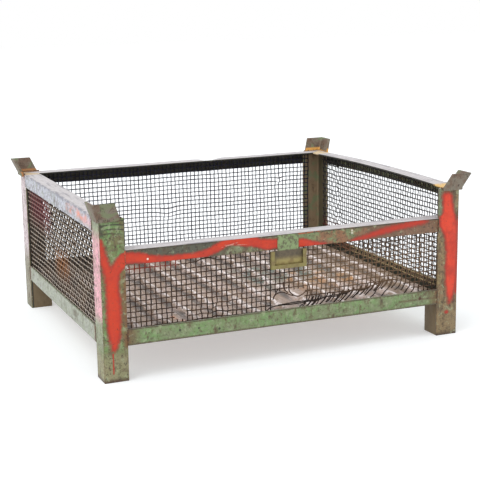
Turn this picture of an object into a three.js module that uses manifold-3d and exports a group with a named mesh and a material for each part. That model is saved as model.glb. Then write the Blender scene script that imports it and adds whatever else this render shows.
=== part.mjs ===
// Wire mesh stacking container: welded steel angle frame, corrugated floor, four woven mesh panels,
// stacking ears on the corner posts and a card holder on the low front rail. Millimetres, +Z up.
// The origin is on the ground under the middle of the container; +X runs along the front, +Y to the back.
import * as THREE from 'three';
import { mergeVertices } from 'three/addons/utils/BufferGeometryUtils.js';
import Module from 'manifold-3d';

// Frame
const WIDTH = 1200;
const DEPTH = 1000;
const POST_TOP = 488;
const POST_LEG = 75;
const POST_WALL = 8;
const RAIL_WALL = 5;
const TOP_RAIL_FLANGE = 55;
const TOP_RAIL_FACE = 45;
const FRONT_RAIL_TOP = 392;
const BOTTOM_RAIL_LEG = 50;
const CLEARANCE = 107;
const SOLE_THICKNESS = 6;

// Stacking ears: short angles that lean outwards from the post tops
const EAR_LEG = 70;
const EAR_WALL = 8;
const EAR_LAP = 8;
const EAR_RISE = 48;
const EAR_LEAN = 20;

// Corrugated floor sheet, ribs running front to back
const FLOOR_SHEET = 3;
const RIB_PITCH = 98;
const RIB_DEPTH = 18;
const RIB_CREST = 36;
const RIB_SLOPE = 12;
const FLOOR_GAP = 3;
const CONTACT_GAP = 0.3;

// Woven mesh panels: a lattice that has one square bar for every five real wires
const WIRE_PITCH = 16;
const WIRES_PER_BAR = 5;
const BAR = 6;
const MESH_LAP = 20;
const TEAR_START = 535;
const TEAR_HOLE_WIDTH = 120;
const TEAR_HOLE_RISE = 80;
const TEAR_LIFT = 45;

// Card holder
const CARD_WIDTH = 118;
const CARD_HEIGHT = 56;
const CARD_SHEET = 2;
const CARD_GAP = 5;
const CARD_LIP = 12;
const CARD_SILL = 12;
const CARD_DROP = 4;
const CARD_TAB_WIDTH = 70;
const CARD_TAB_HEIGHT = 43;
const CARD_CENTRE = 591;

const PAINT = { color: 0x7e9a68, roughness: 0.62, metalness: 0.1 };
const WORN_STEEL = { color: 0x7e756a, roughness: 0.7, metalness: 0.4 };
const RUSTY_SHEET = { color: 0x988b84, roughness: 0.8, metalness: 0.3 };
const DARK_WIRE = { color: 0x3a2e2a, roughness: 0.7, metalness: 0.5 };
const OLIVE_SHEET = { color: 0x8c8448, roughness: 0.6, metalness: 0.2 };

// Where a rail stops beside a mesh panel, and where the panels start, along their side and above the ground
const RAIL_STOP = POST_WALL + BAR + FLOOR_GAP;
const MESH_START = POST_LEG - MESH_LAP;
const MESH_BOTTOM = CLEARANCE + RAIL_WALL + RIB_DEPTH + FLOOR_SHEET + CONTACT_GAP;

const wasm = await Module();
wasm.setup();

const container = new THREE.Group();
const frame = new THREE.Group();
frame.position.set(-WIDTH / 2, -DEPTH / 2, 0);
container.add(frame);

function toManifold(geometry) {
  const bare = geometry.index ? geometry.toNonIndexed() : geometry.clone();
  bare.deleteAttribute('normal');
  bare.deleteAttribute('uv');
  const merged = mergeVertices(bare, 1e-3);
  return new wasm.Manifold(new wasm.Mesh({
    numProp: 3,
    vertProperties: Float32Array.from(merged.attributes.position.array),
    triVerts: Uint32Array.from(merged.index.array),
  }));
}

function toGeometry(solid) {
  const mesh = solid.getMesh();
  const geometry = new THREE.BufferGeometry();
  geometry.setAttribute('position', new THREE.BufferAttribute(mesh.vertProperties, 3));
  geometry.setIndex(new THREE.BufferAttribute(mesh.triVerts, 1));
  return geometry;
}

function block(x0, x1, y0, y1, z0, z1) {
  const box = new THREE.BoxGeometry(x1 - x0, y1 - y0, z1 - z0);
  return box.translate((x0 + x1) / 2, (y0 + y1) / 2, (z0 + z1) / 2);
}

function outline(points) {
  return new THREE.Shape(points.map(([x, y]) => new THREE.Vector2(x, y)));
}

function extrude(shape, height) {
  return new THREE.ExtrudeGeometry(shape, { depth: height, bevelEnabled: false });
}

function join(geometries) {
  return toGeometry(geometries.map(toManifold).reduce((sum, next) => sum.add(next)));
}

function addPiece(name, geometry, finish) {
  const mesh = new THREE.Mesh(geometry, new THREE.MeshStandardMaterial(finish));
  mesh.name = name;
  frame.add(mesh);
}

// A corner is drawn once at the front left and mirrored into the other three.
const CORNERS = [
  { name: 'front_left', right: false, back: false },
  { name: 'front_right', right: true, back: false },
  { name: 'back_right', right: true, back: true },
  { name: 'back_left', right: false, back: true },
];

function mirrored(geometry, corner) {
  const copy = geometry.clone();
  if (corner.right) copy.scale(-1, 1, 1).translate(WIDTH, 0, 0);
  if (corner.back) copy.scale(1, -1, 1).translate(0, DEPTH, 0);
  if (corner.right !== corner.back) {
    const flipped = copy.index ? copy.toNonIndexed() : copy;
    const position = flipped.attributes.position;
    for (let i = 0; i < position.count; i += 3) {
      const second = new THREE.Vector3().fromBufferAttribute(position, i + 1);
      const third = new THREE.Vector3().fromBufferAttribute(position, i + 2);
      position.setXYZ(i + 1, third.x, third.y, third.z);
      position.setXYZ(i + 2, second.x, second.y, second.z);
    }
    return flipped;
  }
  return copy;
}

function angleOutline(leg, wall) {
  return outline([[0, 0], [leg, 0], [leg, wall], [wall, wall], [wall, leg], [0, leg]]);
}

// Corner post: one angle from the ground to the top rails.
function postGeometry() {
  return extrude(angleOutline(POST_LEG, POST_WALL), POST_TOP);
}

// Foot angle: closes the post into a square box below the bottom rails.
function footAngleGeometry() {
  const inner = POST_WALL;
  const outer = POST_LEG;
  const shape = outline([
    [outer, inner], [outer, outer], [inner, outer],
    [inner, outer - POST_WALL], [outer - POST_WALL, outer - POST_WALL], [outer - POST_WALL, inner],
  ]);
  return extrude(shape, CLEARANCE);
}

// Sole plate: closes the box foot at ground level.
function soleGeometry() {
  const far = POST_LEG - POST_WALL;
  return block(POST_WALL, far, POST_WALL, far, 0, SOLE_THICKNESS);
}

// Stacking ear: an angle lapped on the outside of the post top, whose upper part leans out on the diagonal.
function earGeometry() {
  const rise = EAR_LAP + EAR_RISE;
  const steps = new THREE.ExtrudeGeometry(angleOutline(EAR_LEG, EAR_WALL), {
    depth: rise, steps: rise / EAR_LAP, bevelEnabled: false,
  });
  const position = steps.attributes.position;
  for (let i = 0; i < position.count; i += 1) {
    const lean = EAR_LEAN * Math.max(0, position.getZ(i) - EAR_LAP) / EAR_RISE;
    position.setX(i, position.getX(i) - EAR_WALL - lean);
    position.setY(i, position.getY(i) - EAR_WALL - lean);
  }
  return steps.translate(0, 0, POST_TOP - EAR_LAP);
}

for (const corner of CORNERS) {
  addPiece(`post_${corner.name}`, mirrored(postGeometry(), corner), PAINT);
  addPiece(`foot_angle_${corner.name}`, mirrored(footAngleGeometry(), corner), PAINT);
  addPiece(`foot_sole_${corner.name}`, mirrored(soleGeometry(), corner), WORN_STEEL);
  addPiece(`stacking_ear_${corner.name}`, mirrored(earGeometry(), corner), WORN_STEEL);
}

// Rails are drawn along the front, from post to post, and turned onto their side of the container.
const SIDES = [
  { name: 'front', length: WIDTH, turn: 0, at: [0, 0], topEnds: ['stop', 'stop'] },
  { name: 'right', length: DEPTH, turn: 1, at: [WIDTH, 0], topEnds: ['square', 'mitre'] },
  { name: 'back', length: WIDTH, turn: 2, at: [WIDTH, DEPTH], topEnds: ['mitre', 'mitre'] },
  { name: 'left', length: DEPTH, turn: 3, at: [0, DEPTH], topEnds: ['mitre', 'square'] },
];

function placed(geometry, side) {
  const position = geometry.attributes.position;
  const turns = [[1, 0, 0, 1], [0, -1, 1, 0], [-1, 0, 0, -1], [0, 1, -1, 0]];
  const [xx, xy, yx, yy] = turns[side.turn];
  for (let i = 0; i < position.count; i += 1) {
    const x = position.getX(i);
    const y = position.getY(i);
    position.setXY(i, side.at[0] + xx * x + xy * y, side.at[1] + yx * x + yy * y);
  }
  return geometry;
}

// A rail is an upright face between the posts and a level flange that runs on inside them. Where two
// flanges meet at a corner they are mitred; a square end stops beside the neighbouring mesh panel.
function railGeometry(length, flange, faceBottom, faceTop, flangeBottom, startCut, endCut) {
  const start = startCut === 'stop' ? RAIL_STOP : POST_WALL;
  const end = length - (endCut === 'stop' ? RAIL_STOP : POST_WALL);
  const startInner = startCut === 'mitre' ? flange : start;
  const endInner = endCut === 'mitre' ? length - flange : end;
  const plan = outline([
    [POST_LEG, 0], [length - POST_LEG, 0], [length - POST_LEG, POST_WALL], [end, POST_WALL],
    [endInner, flange], [startInner, flange], [start, POST_WALL], [POST_LEG, POST_WALL],
  ]);
  const level = extrude(plan, RAIL_WALL).translate(0, 0, flangeBottom);
  const face = block(POST_LEG, length - POST_LEG, 0, RAIL_WALL, faceBottom, faceTop);
  return join([level, face]);
}

for (const side of SIDES) {
  const low = side.name === 'front';
  const top = low ? FRONT_RAIL_TOP : POST_TOP;
  const topRail = railGeometry(
    side.length, TOP_RAIL_FLANGE, top - TOP_RAIL_FACE, top, top - RAIL_WALL, side.topEnds[0], side.topEnds[1],
  );
  addPiece(`top_rail_${side.name}`, placed(topRail, side), PAINT);
  const bottomRail = railGeometry(
    side.length, BOTTOM_RAIL_LEG, CLEARANCE, CLEARANCE + BOTTOM_RAIL_LEG, CLEARANCE, 'mitre', 'mitre',
  );
  addPiece(`bottom_rail_${side.name}`, placed(bottomRail, side), PAINT);
}

// Floor: one trapezoidal sheet lying on the flanges of the bottom rails.
function floorGeometry() {
  const first = POST_WALL + FLOOR_GAP;
  const last = WIDTH - POST_WALL - FLOOR_GAP;
  const lower = [];
  const valley = RIB_PITCH - RIB_CREST - 2 * RIB_SLOPE;
  const ribs = Math.floor((last - first) / RIB_PITCH);
  const margin = (last - first - ribs * RIB_PITCH) / 2;
  lower.push([first, 0]);
  for (let rib = 0; rib < ribs; rib += 1) {
    const x = first + margin + rib * RIB_PITCH + valley / 2;
    lower.push([x, 0], [x + RIB_SLOPE, RIB_DEPTH]);
    lower.push([x + RIB_SLOPE + RIB_CREST, RIB_DEPTH], [x + 2 * RIB_SLOPE + RIB_CREST, 0]);
  }
  lower.push([last, 0]);
  const upper = lower.map(([x, z]) => [x, z + FLOOR_SHEET]).reverse();
  const run = DEPTH - 2 * (POST_WALL + FLOOR_GAP);
  const sheet = extrude(outline([...lower, ...upper]), run);
  return sheet.rotateX(Math.PI / 2).translate(0, run + POST_WALL + FLOOR_GAP, CLEARANCE + RAIL_WALL);
}
addPiece('corrugated_floor', floorGeometry(), RUSTY_SHEET);

// Mesh panels: lapped on the inner faces of the posts, from the floor crests to the rail above.
function meshBottomAt(x) {
  if (x < TEAR_START) return 0;
  return x < TEAR_START + TEAR_HOLE_WIDTH ? TEAR_HOLE_RISE : TEAR_LIFT;
}

function meshGeometry(length, height, torn) {
  const pitch = WIRE_PITCH * WIRES_PER_BAR;
  const bars = [];
  const inner = length - 2 * MESH_START;
  const columns = Math.round(inner / pitch);
  const tearEnd = TEAR_START + TEAR_HOLE_WIDTH;
  for (let column = 0; column <= columns; column += 1) {
    const x = MESH_START + (inner - BAR) * column / columns;
    const low = torn ? Math.max(meshBottomAt(x), meshBottomAt(x + BAR)) : 0;
    bars.push(block(x, x + BAR, 0, BAR, low, height));
  }
  const rows = Math.ceil(height / pitch);
  for (let row = 0; row <= rows; row += 1) {
    const z = Math.min(row * pitch, height - BAR);
    const end = torn && row === 0 ? TEAR_START - BAR : length - MESH_START;
    bars.push(block(MESH_START, end, 0, BAR, z, z + BAR));
  }
  if (torn) bars.push(block(tearEnd, length - MESH_START, 0, BAR, TEAR_LIFT, TEAR_LIFT + BAR));
  return join(bars);
}

for (const side of SIDES) {
  const top = side.name === 'front' ? FRONT_RAIL_TOP : POST_TOP;
  const height = top - RAIL_WALL - CONTACT_GAP - MESH_BOTTOM;
  const panel = meshGeometry(side.length, height, side.name === 'front');
  addPiece(`mesh_panel_${side.name}`, placed(panel.translate(0, POST_WALL, MESH_BOTTOM), side), DARK_WIRE);
}

// Card holder: a flat hanger plate welded to the front rail, and a folded pocket on its lower half.
const CARD_TOP = FRONT_RAIL_TOP - TOP_RAIL_FACE - CARD_DROP;
const CARD_BOTTOM = CARD_TOP - CARD_HEIGHT;
const cardLeft = CARD_CENTRE - CARD_WIDTH / 2;
const cardRight = CARD_CENTRE + CARD_WIDTH / 2;
const hangerTop = CARD_TOP + CARD_DROP + CARD_TAB_HEIGHT;
const hangerOutline = outline([
  [cardLeft, CARD_BOTTOM], [cardRight, CARD_BOTTOM], [cardRight, CARD_TOP],
  [CARD_CENTRE + CARD_TAB_WIDTH / 2, CARD_TOP], [CARD_CENTRE + CARD_TAB_WIDTH / 2, hangerTop],
  [CARD_CENTRE - CARD_TAB_WIDTH / 2, hangerTop], [CARD_CENTRE - CARD_TAB_WIDTH / 2, CARD_TOP],
  [cardLeft, CARD_TOP],
]);
addPiece('card_hanger_plate', extrude(hangerOutline, CARD_SHEET).rotateX(Math.PI / 2), PAINT);

const pocketFace = outline([
  [cardLeft, CARD_BOTTOM], [cardRight, CARD_BOTTOM], [cardRight, CARD_TOP], [cardRight - CARD_LIP, CARD_TOP],
  [cardRight - CARD_LIP, CARD_BOTTOM + CARD_SILL], [cardLeft + CARD_LIP, CARD_BOTTOM + CARD_SILL],
  [cardLeft + CARD_LIP, CARD_TOP], [cardLeft, CARD_TOP],
]);
const pocketFront = -CARD_SHEET - CARD_GAP;
const pocket = join([
  extrude(pocketFace, CARD_SHEET).rotateX(Math.PI / 2).translate(0, pocketFront, 0),
  block(cardLeft, cardLeft + CARD_SHEET, pocketFront, -CARD_SHEET, CARD_BOTTOM, CARD_TOP),
  block(cardRight - CARD_SHEET, cardRight, pocketFront, -CARD_SHEET, CARD_BOTTOM, CARD_TOP),
  block(cardLeft, cardRight, pocketFront, -CARD_SHEET, CARD_BOTTOM, CARD_BOTTOM + CARD_SHEET),
]);
addPiece('card_pocket', pocket, OLIVE_SHEET);

export default container;
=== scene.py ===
"""Wire mesh stacking container: welded steel angle frame, corrugated floor and woven mesh sides.
The file follows the container as it is put together, from the corner posts to the card holder."""
import math

import bmesh
import bpy
from mathutils import Matrix, Vector, noise


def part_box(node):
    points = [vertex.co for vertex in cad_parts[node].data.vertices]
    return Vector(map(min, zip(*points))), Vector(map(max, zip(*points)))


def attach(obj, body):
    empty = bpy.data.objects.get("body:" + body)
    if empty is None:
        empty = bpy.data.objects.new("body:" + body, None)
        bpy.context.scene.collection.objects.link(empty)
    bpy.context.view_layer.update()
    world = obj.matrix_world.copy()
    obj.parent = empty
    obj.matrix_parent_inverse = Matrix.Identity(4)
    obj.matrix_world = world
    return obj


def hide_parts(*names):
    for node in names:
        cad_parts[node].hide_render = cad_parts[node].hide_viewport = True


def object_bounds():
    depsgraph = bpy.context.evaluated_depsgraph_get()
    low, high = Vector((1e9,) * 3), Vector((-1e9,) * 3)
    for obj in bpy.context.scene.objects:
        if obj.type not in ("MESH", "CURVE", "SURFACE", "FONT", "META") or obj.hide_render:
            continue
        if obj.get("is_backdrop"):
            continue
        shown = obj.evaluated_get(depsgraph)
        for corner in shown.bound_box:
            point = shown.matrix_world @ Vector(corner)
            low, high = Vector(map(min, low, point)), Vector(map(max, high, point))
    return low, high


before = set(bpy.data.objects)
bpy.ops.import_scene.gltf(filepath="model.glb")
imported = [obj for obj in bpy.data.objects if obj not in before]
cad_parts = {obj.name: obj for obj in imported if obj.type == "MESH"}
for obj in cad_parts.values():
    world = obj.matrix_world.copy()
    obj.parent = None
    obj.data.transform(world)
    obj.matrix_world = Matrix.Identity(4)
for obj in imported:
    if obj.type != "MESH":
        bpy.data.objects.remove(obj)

cad_low, cad_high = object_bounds()

# ---------------------------------------------------------------------------------------------------
# Corner posts: hot rolled equal angles that stand on the ground and carry everything else.
# Rolling leaves a rounded root and slightly rounded toes; years of handling leave them not quite straight.
# ---------------------------------------------------------------------------------------------------
MM = 0.001
ROOT_RADIUS = 7 * MM
TOE_RADIUS = 1.6 * MM
NOISE_SEED = 4               # makes every run bend the pieces alike
noise.seed_set(NOISE_SEED)
LONG_EDGE = 50 * MM          # edges longer than this run along a piece, shorter ones across it
CUT_SPACING = 24 * MM        # lengths that a post or rail is cut into, so that it can be bent
POST_WAVER, POST_WAVE = 0.7 * MM, 150 * MM
CORNERS = ("front_left", "front_right", "back_right", "back_left")

post_box = {corner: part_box(f"post_{corner}") for corner in CORNERS}
WIDTH = post_box["front_right"][1].x - post_box["front_left"][0].x
DEPTH = post_box["back_left"][1].y - post_box["front_left"][0].y
POST_TOP = post_box["front_left"][1].z
POST_LEG = post_box["front_left"][1].x - post_box["front_left"][0].x


def deselect_all():
    if bpy.context.mode != "OBJECT":
        bpy.ops.object.mode_set(mode="OBJECT")
    bpy.ops.object.select_all(action="DESELECT")


def take_up(piece):
    """Makes this piece the only one selected, ready for an operator."""
    deselect_all()
    piece.select_set(True)
    bpy.context.view_layer.objects.active = piece


def apply_modifier(piece, kind, **settings):
    """Adds a modifier of a kind and applies it at once."""
    take_up(piece)
    modifier = piece.modifiers.new(kind.lower(), kind)
    for key, value in settings.items():
        setattr(modifier, key, value)
    bpy.ops.object.modifier_apply(modifier=modifier.name)


def plate_copy(node, name):
    """The node's solid as a clean mesh of flat faces, free to be rounded and dented."""
    piece = bpy.data.objects.new(name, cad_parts[node].data.copy())
    bpy.context.scene.collection.objects.link(piece)
    piece.data.materials.clear()
    take_up(piece)
    bpy.ops.object.mode_set(mode="EDIT")
    bpy.ops.mesh.select_all(action="SELECT")
    bpy.ops.mesh.remove_doubles(threshold=1e-5)
    bpy.ops.mesh.dissolve_limited(angle_limit=math.radians(1))
    bpy.ops.object.mode_set(mode="OBJECT")
    return piece


def round_edges(piece, root_radius, toe_radius):
    """Rounds the long hollow corner by the rolling radius and every other edge by the toe radius."""
    if root_radius:
        solid = bmesh.new()
        solid.from_mesh(piece.data)
        weight = solid.edges.layers.float.new("bevel_weight_edge")
        for edge in solid.edges:
            hollow = edge.is_manifold and edge.calc_face_angle_signed(0) < -0.5
            edge[weight] = 1.0 if hollow and edge.calc_length() > LONG_EDGE else 0.0
        solid.to_mesh(piece.data)
        solid.free()
        apply_modifier(piece, "BEVEL", width=root_radius, segments=4, limit_method="WEIGHT")
    apply_modifier(piece, "BEVEL", width=toe_radius, segments=2, limit_method="ANGLE",
                   angle_limit=math.radians(50))


def cut_along(piece, axis, spacing):
    """Cuts the piece into short lengths along an axis, so that it can be bent."""
    take_up(piece)
    low = min(vertex.co[axis] for vertex in piece.data.vertices)
    high = max(vertex.co[axis] for vertex in piece.data.vertices)
    count = int((high - low) / spacing)
    normal = [0, 0, 0]
    normal[axis] = 1
    bpy.ops.object.mode_set(mode="EDIT")
    for cut in range(1, count):
        place = [0, 0, 0]
        place[axis] = low + (high - low) * cut / count
        bpy.ops.mesh.select_all(action="SELECT")
        bpy.ops.mesh.bisect(plane_co=place, plane_no=normal)
    bpy.ops.object.mode_set(mode="OBJECT")


def dent(piece, centre, radius, push):
    """Pushes the metal round a point, most at the point and nothing at the radius."""
    centre, push = Vector(centre), Vector(push)
    for vertex in piece.data.vertices:
        nearness = 1 - (vertex.co - centre).length_squared / radius ** 2
        if nearness > 0:
            vertex.co += push * nearness ** 2


def waver(piece, amount, wave_length, seed):
    """Bends the piece very slightly, as rolled and welded steel is never quite straight. Faces with many
    corners, such as the ends, are split while they are still flat."""
    apply_modifier(piece, "TRIANGULATE", min_vertices=5)
    for vertex in piece.data.vertices:
        place = vertex.co / wave_length + Vector((seed, 2.7 * seed, 0.4))
        vertex.co += noise.noise_vector(place) * amount


def finish_piece(piece, slot, *nodes):
    """Smooths the rounded edges, hangs the piece under the root body and hides the CAD nodes that it
    replaces.
    """
    take_up(piece)
    bpy.ops.object.shade_smooth_by_angle(angle=math.radians(38))
    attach(piece, "root")
    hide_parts(*nodes)


def stay_inside(piece):
    """Brings any corner that a dent has pushed past the container's outer size back to it."""
    for vertex in piece.data.vertices:
        for axis in range(3):
            vertex.co[axis] = min(max(vertex.co[axis], cad_low[axis]), cad_high[axis])


# Enamel: air-drying steel paint, brushed on thick and then weathered. The eye sees a half matt, blotched
# green, pale on top as rubbed metal with a painted highlight, dark inside with painted shade and grime, and
# chipped to brown rust. The flecks of rust are drawn at 7 to 9 mm, coarser than real ones of 1 to 3 mm, so
# that they show.
GREEN, GREEN_GREY, OLIVE = "#6A8C52", "#788162", "#6E6842"
GRIME, RUST, RUST_DARK = "#5A4833", "#6A4226", "#2B1F18"
PALE_CHALK = "#A3AD88"
# Painted shade tones for the inner faces, mixed with grime in the enamel
INNER_SHADE_DARK, INNER_SHADE_BROWN = "#272824", "#5D5040"
# Top faces: a painted highlight over rubbed metal, and the tone of its scratches
LIT_RUBBED_METAL, TOP_GREY = "#C2BEC0", "#85828A"
SPRAY_RED, SPRAY_ORANGE, SPRAY_SHADOW = "#A82310", "#D63C1C", "#4E3620"
SPRAY_DEEP = "#C43206"


def linear(colour):
    """An sRGB hex colour as the linear values that shaders take."""
    channels = [int(colour[i:i + 2], 16) / 255 for i in (1, 3, 5)]
    return [c / 12.92 if c <= 0.04045 else ((c + 0.055) / 1.055) ** 2.4 for c in channels] + [1.0]


def feed(tree, socket, value):
    """Fills an input with a value, a hex colour, or another node's output: its first one in use."""
    if isinstance(value, bpy.types.Node):
        value = next(output for output in value.outputs if output.enabled)
    if isinstance(value, bpy.types.NodeSocket):
        tree.links.new(value, socket)
    else:
        socket.default_value = linear(value) if isinstance(value, str) else value


def add_node(tree, kind, *values, **settings):
    """Adds a shader node. The values fill its inputs in order, a keyword with a capital fills the input of
    that name, and the other keywords are the node's settings."""
    made = tree.nodes.new("ShaderNode" + kind)
    named = {key: settings.pop(key) for key in list(settings) if key[0].isupper()}
    for key, value in settings.items():
        setattr(made, key, value)
    for socket, value in zip([socket for socket in made.inputs if socket.enabled], values):
        feed(tree, socket, value)
    for key, value in named.items():
        feed(tree, made.inputs[key], value)
    return made


def coat(tree, under, over, pattern, low, high, most=1.0):
    """One tone laid over another: none of it where the pattern is low, and the most where it is high."""
    share = add_node(tree, "MapRange", pattern, low, high, 0.0, most, interpolation_type="SMOOTHSTEP")
    return add_node(tree, "Mix", share, under, over, data_type="RGBA")


def fade(tree, mask, value, low, high, start=0.0, end=1.0):
    """A mask weakened to its start share where the value is low, and to its end share where it is high."""
    share = add_node(tree, "MapRange", value, low, high, start, end, interpolation_type="SMOOTHSTEP")
    return add_node(tree, "Math", mask, share, operation="MULTIPLY")


def curve_of(tree, value, points, span, height):
    """A smooth curve through points (in metres): value is along, the result is across."""
    share = add_node(tree, "Math", value, span, operation="DIVIDE")
    node = add_node(tree, "FloatCurve", Value=share)
    line = node.mapping.curves[0]
    ordered = sorted((along / span, across / height) for along, across in points)
    line.points[0].location = ordered[0]
    line.points[1].location = ordered[-1]
    for point in ordered[1:-1]:
        line.points.new(*point)
    node.mapping.update()
    return add_node(tree, "Math", node, height, operation="MULTIPLY")


def start_material(name):
    """A new material, its nodes, its shader and the place on the piece in metres."""
    material = bpy.data.materials.new(name)
    material.use_nodes = True
    tree = material.node_tree
    shader = tree.nodes["Principled BSDF"]
    place = add_node(tree, "TexCoord").outputs["Object"]
    return material, tree, shader, place


def enamel(name, tones, grimy, spray=None, stains=(), over=(), spray_tone=SPRAY_DEEP,
           inner_shade_tone=INNER_SHADE_DARK, inner_mix=0.6, speckle=0.7, rubbed_and_lit=1.0, run=2, seed=0.0):
    """Weathered enamel in two tones. grimy is how much of it is under grime, spray(tree, place) gives the
    mask of red paint sprayed over it, stains are pairs of such a mask and a colour that lie under the
    spray and over are those on top of everything. Inner faces are painted in shade: inner_shade_tone mixed
    with grime. speckle is the strength of the flecks of rust, rubbed_and_lit is how pale the top faces are
    painted, as rubbed metal with a painted highlight, and run is the axis that the piece lies along."""
    material, tree, shader, place = start_material(name)
    moved = add_node(tree, "Mapping", place, (seed, seed, 0))
    x, y, _ = add_node(tree, "SeparateXYZ", place).outputs
    geometry = add_node(tree, "NewGeometry")
    normal_z = add_node(tree, "SeparateXYZ", geometry.outputs["Normal"]).outputs[2]
    streaks = add_node(tree, "TexNoise", add_node(tree, "Mapping", moved, Scale=(1, 1, 0.45)), 1 / 0.022,
                       8.0, 0.74, Distortion=0.3)
    grit = add_node(tree, "TexNoise", moved, 1 / 0.009, 6.0, 0.78)

    fading = add_node(tree, "TexNoise", moved, 1 / 0.05, 7.0, 0.70)
    colour = coat(tree, *tones, fading, 0.38, 0.62)
    chalk = add_node(tree, "TexNoise", moved, 1 / 0.018, 6.0, 0.75)
    colour = coat(tree, colour, PALE_CHALK, chalk, 0.50, 0.64, 0.6)
    dark_share = add_node(tree, "MapRange", streaks, 0.62 - 0.3 * grimy, 0.76 - 0.3 * grimy, 0.0, 0.9,
                    interpolation_type="SMOOTHSTEP")
    colour = add_node(tree, "Mix", dark_share, colour, GRIME, data_type="RGBA")
    blots = add_node(tree, "TexNoise", moved, 1 / 0.016, 2.0, 0.5)
    for stain, stain_colour in stains:
        uneven = add_node(tree, "MapRange", streaks, 0.72, 0.42, 0.35, 1.0, interpolation_type="SMOOTHSTEP")
        colour = add_node(tree, "Mix",
                          add_node(tree, "Math", stain(tree, place), uneven, operation="MULTIPLY"), colour,
                          stain_colour, data_type="RGBA")
    colour = coat(tree, colour, GRIME, blots, 0.56, 0.68, 0.55)
    colour = coat(tree, colour, PALE_CHALK, blots, 0.42, 0.32, 0.45)
    flecks = add_node(tree, "TexNoise", moved, 1 / 0.007, 2.0, 0.6)
    colour = coat(tree, colour, RUST_DARK, grit, 0.51, 0.64, 0.55)
    colour = coat(tree, colour, RUST_DARK, flecks, 0.57, 0.68, speckle)

    if spray:
        mask = spray(tree, place)
        red = coat(tree, SPRAY_RED, spray_tone, mask, 0.55, 1.0)
        red = coat(tree, red, SPRAY_RED, fading, 0.40, 0.66, 0.7)
        red = coat(tree, red, SPRAY_SHADOW, grit, 0.54, 0.68, 0.4)
        ragged = add_node(tree, "Math", mask,
                          add_node(tree, "MapRange", grit, 0.40, 0.60, -0.12, 0.12,
                                   interpolation_type="SMOOTHSTEP"), operation="ADD")
        colour = coat(tree, colour, SPRAY_SHADOW, mask, 0.0, 0.35, 0.45)
        colour = coat(tree, colour, red, ragged, 0.05, 0.80)

    # Edges are knocked bare first: the rounded normal differs from the flat one only near an edge
    rounded = add_node(tree, "Bevel", 3.5 * MM, samples=4)
    flatness = add_node(tree, "VectorMath", rounded, geometry.outputs["Normal"], operation="DOT_PRODUCT")
    edge = add_node(tree, "MapRange", flatness, 0.999, 0.93, interpolation_type="SMOOTHSTEP")
    edge_wear = fade(tree, edge, grit, 0.36, 0.50)
    chips = add_node(tree, "MapRange", add_node(tree, "TexNoise", moved, 1 / 0.013, 3.0, 0.8), 0.66, 0.70,
                     interpolation_type="SMOOTHSTEP")
    rusty = add_node(tree, "Math", edge_wear, chips, operation="MAXIMUM")
    rust = coat(tree, RUST_DARK, RUST, grit, 0.4, 0.6)
    colour = add_node(tree, "Mix", add_node(tree, "Math", rusty, 0.8, operation="MULTIPLY"), colour, rust,
                      data_type="RGBA")

    # Faces inside the outline of the frame are painted in shade, mixed with grime
    outward = add_node(tree, "Math",
                       add_node(tree, "Math", add_node(tree, "Math", x, operation="ABSOLUTE"), WIDTH / 2,
                                operation="SUBTRACT"),
                       add_node(tree, "Math", add_node(tree, "Math", y, operation="ABSOLUTE"), DEPTH / 2,
                                operation="SUBTRACT"), operation="MAXIMUM")
    inside = add_node(tree, "MapRange", outward, -3.0 * MM, -4.2 * MM, interpolation_type="SMOOTHSTEP")
    side_face = add_node(tree, "MapRange", add_node(tree, "Math", normal_z, operation="ABSOLUTE"), 0.8,
                         0.5, interpolation_type="SMOOTHSTEP")
    inside = add_node(tree, "Math", inside, side_face, operation="MULTIPLY")
    dark = coat(tree, inner_shade_tone, GRIME, streaks, 0.50, 0.72, inner_mix)
    colour = add_node(tree, "Mix", add_node(tree, "Math", inside, 0.93, operation="MULTIPLY"), colour,
                      dark, data_type="RGBA")

    # Top faces are scratched along the piece and painted pale: rubbed metal with a painted highlight
    grain = [1.0, 1.0, 1.0]
    grain[run] = 0.06
    scratches = add_node(tree, "TexNoise", add_node(tree, "Mapping", moved, Scale=grain), 1 / 0.010, 6.0,
                         0.7)
    metal = coat(tree, LIT_RUBBED_METAL, TOP_GREY, scratches, 0.50, 0.66)
    top = add_node(tree, "MapRange", normal_z, 0.75, 0.95, interpolation_type="SMOOTHSTEP")
    bare = fade(tree, top, streaks, 0.80, 0.50, 0.35 * rubbed_and_lit, rubbed_and_lit)
    colour = add_node(tree, "Mix", bare, colour, metal, data_type="RGBA")
    for stain, stain_colour in over:
        colour = add_node(tree, "Mix", stain(tree, place), colour, stain_colour, data_type="RGBA")

    feed(tree, shader.inputs["Base Color"], colour)
    roughness = add_node(tree, "MapRange", streaks, 0.3, 0.8, 0.42, 0.68, interpolation_type="SMOOTHSTEP")
    roughness = add_node(tree, "Math", roughness,
                         add_node(tree, "Math", rusty, 0.85, operation="MULTIPLY"), operation="MAXIMUM")
    feed(tree, shader.inputs["Roughness"], roughness)
    height = add_node(tree, "Math", add_node(tree, "Math", grit, 0.8, operation="MULTIPLY"), rusty,
                      operation="SUBTRACT")
    feed(tree, shader.inputs["Normal"],
         add_node(tree, "Bump", Height=height, Strength=0.6, Distance=0.9 * MM))
    return material


SPRAY_FADE = 13 * MM      # how far the spray fades out past the edge of a line


def band(tree, across, low, high, soft):
    """1 where across lies between two curves, fading over the softness at both."""
    above = add_node(tree, "MapRange", add_node(tree, "Math", across, low, operation="SUBTRACT"), -soft,
                     soft, interpolation_type="SMOOTHSTEP")
    below = add_node(tree, "MapRange", add_node(tree, "Math", high, across, operation="SUBTRACT"), -soft,
                     soft, interpolation_type="SMOOTHSTEP")
    return add_node(tree, "Math", above, below, operation="MULTIPLY")


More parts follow.
